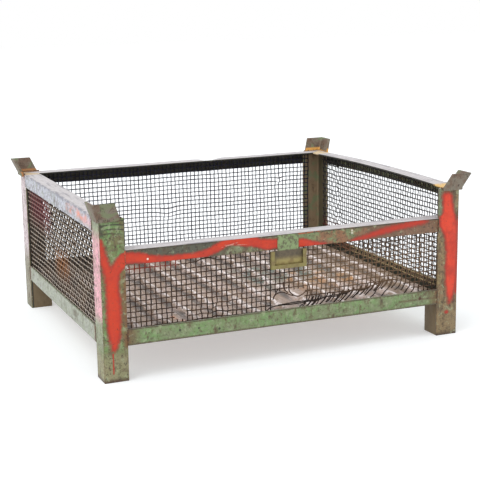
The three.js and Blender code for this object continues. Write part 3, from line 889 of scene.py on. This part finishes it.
def scraped_floor_steel():
    """Coated steel sheet, half matt. The left flank and edge of every rib is scraped pale by sliding goods
    and carries a painted highlight; painted shade and dirt lie in the angle at its foot, and the coating
    flakes off brown and orange. The scrapes are drawn 7 mm wide, coarser than real ones, so that they show."""
    material, tree, shader, place = start_material("scraped_steel_floor")
    low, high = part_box("corrugated_floor")
    count = int((high.x - low.x) / RIB_PITCH)
    valley = RIB_PITCH - RIB_CREST - 2 * RIB_SLOPE
    first = low.x + (high.x - low.x - count * RIB_PITCH) / 2 + valley / 2
    x = add_node(tree, "SeparateXYZ", place).outputs[0]
    blotches = add_node(tree, "TexNoise", place, 1 / 0.07, 7.0, 0.70)
    x = add_node(tree, "Math", x,
                 add_node(tree, "MapRange", blotches, 0.3, 0.7, -4 * MM, 4 * MM,
                          interpolation_type="SMOOTHSTEP"), operation="ADD")
    phase = add_node(tree, "Math",
                     add_node(tree, "Math", add_node(tree, "Math", x, first, operation="SUBTRACT"),
                              RIB_PITCH, operation="DIVIDE"), operation="FRACT")
    colour = coat(tree, FLOOR_BROWN, FLOOR_GREY, blotches, 0.40, 0.60)
    # Painted shade and dirt: a dark band in the valley at the foot of each rib's lit flank
    dark_share = add_node(tree, "MapRange", phase, 0.72, 0.93, 0.0, 0.9, interpolation_type="SMOOTHSTEP")
    dark_share = add_node(tree, "Math", dark_share,
                    add_node(tree, "MapRange", phase, 0.05, 0.0, 0.0, 0.9,
                             interpolation_type="SMOOTHSTEP"), operation="MAXIMUM")
    dark_share = fade(tree, dark_share, blotches, 0.66, 0.42, 0.5, 1.0)
    colour = add_node(tree, "Mix", dark_share, colour, FLOOR_SHADOW, data_type="RGBA")
    # Painted highlight with scrapes: a pale band on the flank of each rib that faces the light
    rubbed_and_lit = add_node(tree, "TexNoise", add_node(tree, "Mapping", place, Scale=(1, 0.4, 1)), 1 / 0.03, 6.0,
                      0.75)
    pale = fade(tree, band(tree, phase, 0.085, 0.155, 0.032), rubbed_and_lit, 0.36, 0.54)
    for low, high, soft, size, stain in FLOOR_STAINS:
        zone = fade(tree, in_box(low, high, soft)(tree, place),
                    add_node(tree, "TexNoise", place, 1 / size, 4.0, 0.65), 0.40, 0.60, 0.0, 0.85)
        colour = add_node(tree, "Mix", zone, colour, stain, data_type="RGBA")
    colour = add_node(tree, "Mix", pale, colour, FLOOR_PALE, data_type="RGBA")
    scrapes = add_node(tree, "TexNoise", add_node(tree, "Mapping", place, Scale=(1, 0.15, 1)), 1 / 0.007,
                       5.0, 0.7)
    colour = coat(tree, colour, FLOOR_PALE, scrapes, 0.55, 0.66, 0.55)
    flakes = add_node(tree, "TexNoise", place, 1 / 0.016, 6.0, 0.75)
    colour = coat(tree, colour, FLAKED_BROWN, flakes, 0.56, 0.64, 0.75)
    orange = fade(tree, add_node(tree, "MapRange", flakes, 0.40, 0.36, interpolation_type="SMOOTHSTEP"),
                  blotches, 0.5, 0.6)
    colour = add_node(tree, "Mix", add_node(tree, "Math", orange, 0.8, operation="MULTIPLY"), colour,
                      FLAKED_ORANGE, data_type="RGBA")
    feed(tree, shader.inputs["Base Color"], colour)
    roughness = add_node(tree, "MapRange", blotches, 0.3, 0.7, 0.40, 0.7, interpolation_type="SMOOTHSTEP")
    feed(tree, shader.inputs["Roughness"], roughness)
    feed(tree, shader.inputs["Normal"],
         add_node(tree, "Bump", Height=scrapes, Strength=0.3, Distance=0.5 * MM))
    return material


def round_folds(sheet, radius):
    """Gives the folds their radius. The rim is left square, as it was sheared."""
    solid = bmesh.new()
    solid.from_mesh(sheet.data)
    weight = solid.edges.layers.float.new("bevel_weight_edge")
    for edge in solid.edges:
        is_fold = edge.calc_length() > LONG_EDGE and 0.5 < edge.calc_face_angle(0) < 1.3
        edge[weight] = 1.0 if is_fold else 0.0
    solid.to_mesh(sheet.data)
    solid.free()
    apply_modifier(sheet, "BEVEL", width=radius, segments=2, limit_method="WEIGHT")


floor_sheet = plate_copy("corrugated_floor", "folded_floor_sheet")
round_folds(floor_sheet, FOLD_RADIUS)
cut_along(floor_sheet, 1, FLOOR_CUT)
waver(floor_sheet, FLOOR_WAVER, FLOOR_WAVE, 3.3)
floor_sheet.data.materials.append(scraped_floor_steel())
finish_piece(floor_sheet, "rusty_sheet", "corrugated_floor")

# ---------------------------------------------------------------------------------------------------
# Woven wire mesh: crimped steel wires, over one and under the next, 16 mm apart both ways. One crimp of
# wire is drawn, repeated into a wire, and the wires are repeated into a panel. Use has pushed the panels
# about, and has torn the front one loose along the bottom and opened a hole in it.
# ---------------------------------------------------------------------------------------------------
WIRE = {"front": (3.6 * MM, 3.4 * MM), "right": (3.1 * MM, 3.9 * MM), "back": (3.3 * MM, 3.6 * MM),
        "left": (4.2 * MM, 3.4 * MM)}       # upright and crosswise wires, with their rust
PITCH = 16 * MM
WIRE_SIDES = 6
ACROSS = "across"        # the vertex group of the crosswise wires
EAR_OVERHANG = 28 * MM   # how far the ears stand out past the frame
WIRE_ZONES = [      # low corner, high corner, softness, strength and colour of stains on the wires
    ((-1, -0.10, 0.22), (-0.55, 0.06, 0.29), 40 * MM, 0.55, "#9A6234"),
    ((-1, 0.12, 0.34), (-0.55, 0.40, 0.46), 50 * MM, 0.60, "#7A3540"),
    ((0.55, -0.55, 0.10), (1, 0.45, 0.162), 9 * MM, 0.85, "#B39C74"),
    ((0.02, -1, 0.195), (0.52, -0.4, 0.33), 50 * MM, 0.45, "#84694E"),
    ((-0.08, -1, 0.10), (0.42, -0.4, 0.186), 9 * MM, 0.80, "#140D0A"),
    ((0.55, 0.20, 0.10), (1, 0.45, 0.22), 30 * MM, 0.75, "#6E2A22"),
    ((-0.60, -1, 0.325), (-0.36, -0.4, 0.35), 10 * MM, 0.40, "#B23A24")]


def oxidised_wire(name, dark, mid, dust_and_highlight):
    """Drawn steel wire, dark with oxide and half matt, with brown rust in spots, and paler on the upper
    side, where dust lies and goods have rubbed, and where a highlight is painted for the light from above."""
    material, tree, shader, place = start_material(name)
    patches = add_node(tree, "TexNoise", place, 1 / 0.05, 5.0, 0.6)
    colour = coat(tree, dark, mid, patches, 0.35, 0.65)
    rust = add_node(tree, "MapRange", add_node(tree, "TexNoise", place, 1 / 0.015, 4.0, 0.7), 0.55, 0.68,
                    0.0, 0.6, interpolation_type="SMOOTHSTEP")
    colour = add_node(tree, "Mix", rust, colour, "#5B3D2A", data_type="RGBA")
    normal = add_node(tree, "NewGeometry").outputs["Normal"]
    upward = add_node(tree, "SeparateXYZ", normal).outputs[2]
    # Painted highlight with dust: the upper side of every wire is paler
    colour = coat(tree, colour, dust_and_highlight, upward, 0.25, 0.95, 0.95)
    for low, high, soft, strength, stain in WIRE_ZONES:
        zone = in_box(low, high, soft)(tree, place)
        colour = add_node(tree, "Mix", add_node(tree, "Math", zone, strength, operation="MULTIPLY"),
                          colour, stain, data_type="RGBA")
    feed(tree, shader.inputs["Base Color"], colour)
    shader.inputs["Roughness"].default_value = 0.55
    shader.inputs["Specular IOR Level"].default_value = 0.25
    return material


def crimped_wire(name, length, phase, thickness):
    """A wire along +X from the origin, bowed over and under every crossing wire."""
    bpy.ops.mesh.primitive_circle_add(vertices=WIRE_SIDES, radius=thickness / 2,
                                      rotation=(0, math.pi / 2, 0))
    wire = bpy.context.active_object
    wire.name = name
    bpy.ops.object.transform_apply(location=True, rotation=True, scale=True)
    steps = round(length / (PITCH / 2))
    bpy.ops.object.mode_set(mode="EDIT")
    bpy.ops.mesh.select_all(action="SELECT")
    for step in range(steps):
        bpy.ops.mesh.extrude_region_move(TRANSFORM_OT_translate={"value": (length / steps, 0, 0)})
    bpy.ops.object.mode_set(mode="OBJECT")
    for vertex in wire.data.vertices:
        turn = math.pi * vertex.co.x / PITCH + phase * math.pi
        vertex.co.y += 0.48 * thickness * math.cos(turn)
    return wire


def repeated(wire, count, offset):
    """Makes a row of the wire."""
    apply_modifier(wire, "ARRAY", count=count, use_relative_offset=False, use_constant_offset=True,
                   constant_offset_displace=offset)


def join_all(pieces, name):
    """Makes one piece of several."""
    deselect_all()
    for piece in pieces:
        piece.select_set(True)
    bpy.context.view_layer.objects.active = pieces[0]
    bpy.ops.object.join()
    bpy.context.active_object.name = name
    return bpy.context.active_object


def woven_panel(name, length, height, thicknesses):
    """A panel standing on the origin, along +X and up, its middle plane at y = 0. The wires that run
    across are in a vertex group, so that they can be told from the upright ones."""
    columns = int(length / PITCH)
    rows = int(height / PITCH)
    side_margin = (length - columns * PITCH) / 2
    foot_margin = (height - rows * PITCH) / 2
    wires = []
    for phase in (0, 1):
        across = crimped_wire(f"{name}_across_{phase}", length, phase, thicknesses[1])
        across.location = (0, 0, foot_margin + phase * PITCH)
        take_up(across)
        bpy.ops.object.transform_apply(location=True)
        repeated(across, (rows + 2 - phase) // 2, (0, 0, 2 * PITCH))
        group = across.vertex_groups.new(name=ACROSS)
        group.add(range(len(across.data.vertices)), 1.0, "REPLACE")
        upright = crimped_wire(f"{name}_upright_{phase}", height, phase + 1, thicknesses[0])
        upright.rotation_euler = (0, -math.pi / 2, 0)
        upright.location = (side_margin + phase * PITCH, 0, 0)
        take_up(upright)
        bpy.ops.object.transform_apply(location=True, rotation=True)
        repeated(upright, (columns + 2 - phase) // 2, (2 * PITCH, 0, 0))
        wires += [across, upright]
    return join_all(wires, name)


def close_wire_ends(panel):
    """Caps every cut wire and turns all faces out."""
    take_up(panel)
    bpy.ops.object.mode_set(mode="EDIT")
    bpy.ops.mesh.select_all(action="SELECT")
    bpy.ops.mesh.fill_holes(sides=WIRE_SIDES)
    bpy.ops.mesh.normals_make_consistent(inside=False)
    bpy.ops.object.mode_set(mode="OBJECT")


def hill(value, centre, spread):
    """1 at the centre, falling smoothly to nothing some way past the spread."""
    return math.exp(-((value - centre) / spread) ** 2)


def on_line(points, value):
    """The height at a value of a line drawn straight from point to point."""
    for (start, low), (end, high) in zip(points, points[1:]):
        if value <= end:
            return low + (high - low) * max(0, value - start) / (end - start)
    return points[-1][1]


def wander(along, z, is_across, seed, amount):
    """How far a point of a wire has been pushed along the panel, out of it and up. Each wire strays by
    itself, and the whole panel bellies a little."""
    fine, long = 11 * MM, 110 * MM
    place = Vector((along / long, z / fine, seed)) if is_across else Vector((along / fine, z / long, seed))
    stray = amount * noise.noise(place)
    belly = noise.noise_vector(Vector((along / 0.16, z / 0.16, seed + 5)))
    return Vector((0 if is_across else stray, 0, stray if is_across else 0)) + Vector(
        (1.5 * amount * belly.x, 1.5 * amount * belly.y, 1.2 * amount * belly.z))


# The torn front panel, in metres from its left end and up from the ground
TORN_EDGE = [(0.00, 0.0), (0.505, 0.0), (0.520, 0.158), (0.640, 0.166), (0.700, 0.172), (0.790, 0.177),
             (0.850, 0.185), (0.930, 0.198), (0.975, 0.200), (1.020, 0.182), (1.060, 0.160), (1.085, 0.0),
             (1.20, 0.0)]
HOLE_LEFT, HOLE_RIGHT, HOLE_TOP = 0.540, 0.656, 0.212
FREE_END = 26 * MM


def is_missing(along, z, is_across):
    """Whether this bit of the front panel has been torn away."""
    ragged = 7 * MM * noise.noise(Vector((round(along / PITCH), 3.1, 0.7)))
    if HOLE_LEFT < along < HOLE_RIGHT and z < HOLE_TOP + (0 if is_across else ragged - 3 * MM):
        return True
    if abs(along - 0.245) < 14 * MM and 0.165 < z < 0.196:
        return True
    return z < on_line(TORN_EDGE, along) - (0 if is_across else FREE_END + ragged)


def torn_shift(along, z, is_across):
    """How the wires that are left have bent: loose ends trail to the left, and two places bulge."""
    shift = Vector((0, 0, 0))
    edge = on_line(TORN_EDGE, along)
    if edge and along > HOLE_RIGHT:
        loose = max(0, edge + 8 * MM - z) / (FREE_END + 8 * MM)
        shift += Vector((-26 * MM, -4 * MM, 7 * MM)) * loose ** 1.5
        shift.x -= 4 * MM * hill(z, edge, 0.04)
    crush = hill(along, 0.345, 0.05) * hill(z, 0.180, 0.030)
    shift += crush * 14 * MM * noise.noise_vector(Vector((along / 0.035, z / 0.035, 2.2)))
    shift.z += 11 * MM * hill(along, 0.330, 0.028) * hill(z, 0.336, 0.014)
    return shift


def back_shift(along, z, is_across):
    """A sag in the back panel, and a place where something has been pulled through it."""
    sag = hill(along, 0.565 - 17 * MM, 0.035) * hill(z, 0.300, 0.030)
    knot = hill(along, 1.015, 0.012) * hill(z, 0.388, 0.012)
    return Vector((2 * MM * sag, 0, -9 * MM * sag)) + Vector((3 * MM, -3 * MM, -8 * MM)) * knot


def right_shift(along, z, is_across):
    """A small dent in the right panel, toward the back. The crosswise wires lie mostly on the inside."""
    dented = 8 * MM * hill(along, 0.82, 0.03) * noise.noise_vector(Vector((along / 0.03, z / 0.03, 7.7)))
    return dented + Vector((0, 1.6 * MM if is_across else -0.6 * MM, 0))


def left_shift(along, z, is_across):
    """The left panel's crosswise wires are drawn tight and lie mostly outside the upright ones."""
    return Vector((0, 1.4 * MM if is_across else -0.6 * MM, 0))


def bend_wires(panel, extra_shift, seed, amount):
    """Pushes the wires about, both as they have strayed and by the panel's own damage."""
    group = panel.vertex_groups[ACROSS].index
    for vertex in panel.data.vertices:
        is_across = any(member.group == group for member in vertex.groups)
        along, z = vertex.co.x, vertex.co.z
        vertex.co += wander(along, z, is_across, seed, amount)
        vertex.co += extra_shift(along, z, is_across)


def tear_away(panel):
    """Takes out the lengths of wire that are missing, whole rings of vertices at a time."""
    group = panel.vertex_groups[ACROSS].index
    solid = bmesh.new()
    solid.from_mesh(panel.data)
    member = solid.verts.layers.deform.verify()
    gone = []
    for vertex in solid.verts:
        is_across = group in vertex[member]
        along, z = vertex.co.x, vertex.co.z
        if is_across:
            z = round((z - row_start) / PITCH) * PITCH + row_start
        else:
            along = round((along - column_start) / PITCH) * PITCH + column_start
        if is_missing(along, z, is_across):
            gone.append(vertex)
    bmesh.ops.delete(solid, geom=gone, context="VERTS")
    solid.to_mesh(panel.data)
    solid.free()


LOOSE_THICKNESS, TWIST_THICKNESS = 3.6 * MM, 4.4 * MM
PANEL_PLANE = 11             # the front panel's middle plane, in millimetres in from the front


def loose_wire(name, points, thickness=LOOSE_THICKNESS):
    """A single wire through points of the front panel, which are along, outward and up in millimetres."""
    curve = bpy.data.curves.new(name, "CURVE")
    curve.dimensions = "3D"
    curve.bevel_depth = thickness / 2
    curve.bevel_resolution = 1
    curve.resolution_u = 6
    curve.use_fill_caps = True
    spline = curve.splines.new("BEZIER")
    spline.bezier_points.add(len(points) - 1)
    for knot, (along, outward, up) in zip(spline.bezier_points, points):
        knot.co = Vector((along - WIDTH / 2 / MM, -(DEPTH / 2 / MM - PANEL_PLANE) - outward, up)) * MM
        knot.handle_left_type = knot.handle_right_type = "AUTO"
    wire = bpy.data.objects.new(name, curve)
    bpy.context.scene.collection.objects.link(wire)
    take_up(wire)
    bpy.ops.object.convert(target="MESH")
    return wire


LOOSE_WIRES = {
    "stub": [(580, 0, 240), (581, 1, 222), (586, 2, 213), (593, 3, 206)],
    "hanging_loop": [(597, 0, 228), (600, 2, 209), (610, 4, 198), (627, 5, 191), (643, 5, 196),
                     (652, 3, 201), (672, 0, 204)],
    "slack_strand": [(545, 2, 196), (552, 2, 203), (563, 2, 208), (579, 2, 208), (596, 3, 200),
                     (612, 4, 194)],
    "left_stub": [(544, 0, 188), (552, 1, 205), (558, 2, 216), (567, 2, 224)],
    "bent_upright": [(664, 0, 230), (669, 2, 211), (670, 4, 192), (664, 5, 179), (650, 5, 167),
                     (637, 5, 160), (625, 6, 152)],
    "edge_strand": [(516, 1, 145), (527, 2, 160), (541, 2, 166), (568, 2, 168), (602, 2, 167),
                    (636, 2, 168), (670, 2, 170), (705, 2, 174), (744, 2, 179), (786, 2, 179),
                    (811, 2, 184)],
    "edge_strand_twin": [(560, 4, 170), (602, 4, 172), (646, 4, 173), (690, 4, 169), (723, 4, 178),
                         (761, 4, 175), (790, 4, 184), (832, 4, 187), (846, 4, 184), (882, 3, 191)],
    "edge_strand_right": [(770, 3, 181), (815, 3, 189), (850, 3, 187), (880, 3, 193), (915, 3, 201),
                          (955, 2, 207), (990, 2, 198)],
    "right_end": [(885, 0, 214), (905, 3, 196), (902, 5, 178), (890, 6, 164), (880, 6, 158)],
    "far_end": [(965, 0, 210), (960, 4, 196), (945, 5, 180), (930, 6, 168), (920, 6, 155)],
}

STRAND_COUNT, FIRST_STRAND, STRAND_SPACING = 12, 672, 24


def trailing_strand(number):
    """A twist of loose wire that trails to the left from the torn edge, in millimetres."""
    along = FIRST_STRAND + STRAND_SPACING * number + 8 * noise.noise(Vector((number * 1.3, 0.5, 0.2)))
    drop = 20 + 12 * noise.noise(Vector((number * 0.9, 4.5, 0.2)))
    edge = on_line(TORN_EDGE, along * MM) / MM
    points = [(along + 12, 1, edge + 15), (along + 3, 3, edge + 2), (along - 8, 5, edge - 8),
              (along - 8 - 0.8 * drop, 6, edge - drop)]
    return loose_wire(f"loose_wire_strand_{number}", points, TWIST_THICKNESS)


wire_tones = {      # dark, mid and dusty tone (with a painted highlight) of each panel's upright wires, then of its crosswise ones
    "front": (("#20140D", "#39261B", "#57412F"), ("#22150E", "#3D291D", "#634B38")),
    "right": (("#17171E", "#2A2930", "#4C4844"), ("#17171E", "#2C2B31", "#68625D")),
    "back": (("#191A28", "#2C2E42", "#3F4054"), ("#191A28", "#2C2E42", "#484A5E")),
    "left": (("#2A2019", "#473829", "#655240"), ("#3A2F28", "#65564A", "#DCD0C0"))}
shifts = {"front": torn_shift, "right": right_shift, "back": back_shift, "left": left_shift}
unrest = {"front": 1.7 * MM, "right": 1.6 * MM, "back": 1.7 * MM, "left": 2.2 * MM}
for index, side in enumerate(SIDES):
    low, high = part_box(f"mesh_panel_{side}")
    run = 0 if side in ("front", "back") else 1
    length, height = high[run] - low[run], high.z - low.z
    panel = woven_panel(f"woven_mesh_{side}", length, height, WIRE[side])
    start = low[run] - (cad_low[run] + EAR_OVERHANG)
    panel.data.transform(Matrix.Translation((start, 0, low.z)))
    column_start = start + (length - int(length / PITCH) * PITCH) / 2
    row_start = low.z + (height - int(height / PITCH) * PITCH) / 2
    if side == "front":
        tear_away(panel)
    close_wire_ends(panel)
    bend_wires(panel, shifts[side], 1.7 * index, unrest[side])
    group = panel.vertex_groups[ACROSS].index
    for way, tones in zip(("upright", "across"), wire_tones[side]):
        panel.data.materials.append(oxidised_wire(f"oxidised_steel_wire_{side}_{way}", *tones))
    for face in panel.data.polygons:
        vertex = panel.data.vertices[face.vertices[0]]
        face.material_index = int(any(member.group == group for member in vertex.groups))
    if run == 1:
        panel.data.transform(Matrix.Rotation(math.pi / 2, 4, "Z"))
    middle = (low + high) / 2
    corner = Vector((-WIDTH / 2, middle.y, 0)) if run == 0 else Vector((middle.x, -DEPTH / 2, 0))
    panel.data.transform(Matrix.Translation(corner))
    if side == "front":
        loose = [loose_wire(f"loose_wire_{name}", points) for name, points in LOOSE_WIRES.items()]
        loose += [trailing_strand(strand) for strand in range(STRAND_COUNT)]
        for wire in loose:
            wire.data.materials.clear()
            wire.data.materials.append(panel.data.materials[0])
        panel = join_all([panel] + loose, panel.name)
    stay_inside(panel)
    finish_piece(panel, "dark_wire", f"mesh_panel_{side}")

# ---------------------------------------------------------------------------------------------------
# Card holder: a sheet steel plate welded to the front rail, with a folded pocket for a card on it. The
# pocket has kept a thicker, olive coat, and the plate has the frame's green.
# ---------------------------------------------------------------------------------------------------
SHEET_EDGE = 0.5 * MM
POCKET_OLIVE, POCKET_PALE = "#786940", "#857C48"
PLATE_GREEN, PLATE_DARK = "#7F9264", "#5C5C44"
# Painted shade inside the pocket's recess, in two tones
RECESS_SHADE_BROWN, RECESS_SHADE_DARK = "#5F5340", "#4F4636"
CARD_OLIVE, CARD_OLIVE_DARK = "#9A8C54", "#857244"


def olive_sheet():
    """Olive enamel on folded sheet steel: dull, in two close tones, with small chips down to rust."""
    material, tree, shader, place = start_material("olive_enamel_pocket")
    patches = add_node(tree, "TexNoise", place, 1 / 0.03, 5.0, 0.6)
    colour = coat(tree, POCKET_OLIVE, POCKET_PALE, patches, 0.40, 0.60)
    chips = add_node(tree, "MapRange", add_node(tree, "TexNoise", place, 1 / 0.008, 4.0, 0.7), 0.62, 0.7,
                     interpolation_type="SMOOTHSTEP")
    colour = add_node(tree, "Mix", chips, colour, RUST, data_type="RGBA")
    feed(tree, shader.inputs["Base Color"], colour)
    shader.inputs["Roughness"].default_value = 0.6
    return material


def hanger_enamel():
    """Green above, where the plate is open to the air, and brown inside the pocket as painted shade of its
    recess, turning olive lower down.
    """
    material, tree, shader, place = start_material("weathered_enamel_hanger")
    z = add_node(tree, "SeparateXYZ", place).outputs[2]
    patches = add_node(tree, "TexNoise", place, 1 / 0.02, 6.0, 0.7)
    green = coat(tree, PLATE_GREEN, PLATE_DARK, patches, 0.44, 0.58)
    # Painted shade: brown inside the pocket's recess, turning olive lower down
    brown = coat(tree, RECESS_SHADE_BROWN, RECESS_SHADE_DARK, patches, 0.4, 0.6)
    low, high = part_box("card_pocket")
    olive = coat(tree, CARD_OLIVE, CARD_OLIVE_DARK, patches, 0.4, 0.6)
    brown = coat(tree, olive, brown, z, low.z + 18 * MM, high.z - 14 * MM)
    colour = coat(tree, brown, green, z, high.z - 2 * MM, high.z + 3 * MM)
    feed(tree, shader.inputs["Base Color"], colour)
    shader.inputs["Roughness"].default_value = 0.6
    feed(tree, shader.inputs["Normal"],
         add_node(tree, "Bump", Height=patches, Strength=0.4, Distance=0.6 * MM))
    return material


hanger = plate_copy("card_hanger_plate", "card_hanger")
round_edges(hanger, 0, SHEET_EDGE)
hanger.data.materials.append(hanger_enamel())
finish_piece(hanger, "green_paint", "card_hanger_plate")
pocket = plate_copy("card_pocket", "card_pocket_sheet")
round_edges(pocket, 0, SHEET_EDGE)
pocket.data.materials.append(olive_sheet())
finish_piece(pocket, "olive_sheet", "card_pocket")

# ---------------------------------------------------------------------------------------------------
# Studio: a white paper floor, a white surround and one wide soft light from the upper left, so that the
# shadow falls to the right and the paper stays white round it.
# ---------------------------------------------------------------------------------------------------
bpy.context.scene.view_settings.view_transform = "Standard"

camera_data = bpy.data.cameras.new("camera")
camera = bpy.data.objects.new("camera", camera_data)
bpy.context.scene.collection.objects.link(camera)
SENSOR = 36.0
FOCAL_RATIO = 2.448          # focal length over the width of the view
camera_data.sensor_width = SENSOR
camera_data.lens = SENSOR * FOCAL_RATIO
camera.location = (-1.4901, -3.6626, 1.1224)
heading, dip, tilt = math.radians(22.71), math.radians(12.09), math.radians(-0.87)
camera.rotation_euler = (Matrix.Rotation(-heading, 3, "Z") @ Matrix.Rotation(math.pi / 2 - dip, 3, "X")
                         @ Matrix.Rotation(tilt, 3, "Z")).to_euler()
bpy.context.scene.camera = camera

deselect_all()
bpy.ops.mesh.primitive_plane_add(size=40, location=(0, 0, 0))
ground = bpy.context.active_object
ground.name = "studio_floor"
paper = bpy.data.materials.new("white_floor")
paper.use_nodes = True
paper_shader = paper.node_tree.nodes["Principled BSDF"]
paper_shader.inputs["Base Color"].default_value = (0.685, 0.71, 0.73, 1)
paper_shader.inputs["Roughness"].default_value = 0.9
paper_shader.inputs["Specular IOR Level"].default_value = 0.0
paper_shader.inputs["Emission Color"].default_value = (1, 1, 1, 1)
paper_shader.inputs["Emission Strength"].default_value = 0.38
ground.data.materials.append(paper)
ground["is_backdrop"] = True

world = bpy.data.worlds.new("studio")
bpy.context.scene.world = world
world.use_nodes = True
world.node_tree.nodes["Background"].inputs["Color"].default_value = (1, 1, 1, 1)
world.node_tree.nodes["Background"].inputs["Strength"].default_value = 1.0

key = bpy.data.lights.new("key", "SUN")
key.energy = 0.95
key.angle = math.radians(40)
key_holder = bpy.data.objects.new("key", key)
bpy.context.scene.collection.objects.link(key_holder)
key_holder.rotation_euler = Vector((2.0, 0.6, -2.7)).to_track_quat("-Z", "Y").to_euler()

low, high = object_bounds()
